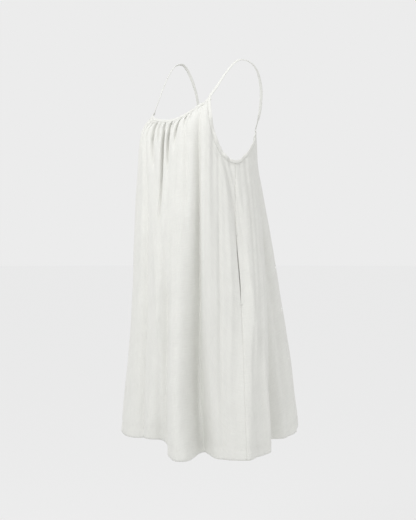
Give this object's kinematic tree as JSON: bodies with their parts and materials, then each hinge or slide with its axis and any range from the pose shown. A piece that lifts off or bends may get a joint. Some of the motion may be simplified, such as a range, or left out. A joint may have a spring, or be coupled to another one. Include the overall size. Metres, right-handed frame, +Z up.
{
  "type": "sundress",
  "caption": "Sleeveless A-line sundress in worn form, with a gathered scoop neck, bound armholes, thin shoulder straps and pockets in the side seams.",
  "frame": {"origin": "midway between the two shoulder straps, where they lie on the shoulders", "axes": "+Z up, the front of the dress faces -Y, the wearer's left side is +X"},
  "size_m": [0.4602, 0.396, 0.8725],
  "materials": {
    "panel_linen": "off-white plain-weave linen, matt",
    "binding_linen": "folded bias strip of the same linen, matt",
    "strap_linen": "folded and stitched strip of the same linen, matt",
    "pocket_linen": "thin plain-weave linen, matt"
  },
  "bodies": {
    "root": {"front_panel": "panel_linen", "back_panel": "panel_linen", "neck_binding_front": "binding_linen", "neck_binding_back": "binding_linen", "armhole_binding_left": "binding_linen", "armhole_binding_right": "binding_linen", "strap_left": "strap_linen", "strap_right": "strap_linen", "pocket_front_left": "pocket_linen", "pocket_back_left": "pocket_linen", "pocket_front_right": "pocket_linen", "pocket_back_right": "pocket_linen"}
  },
  "joints": []
}
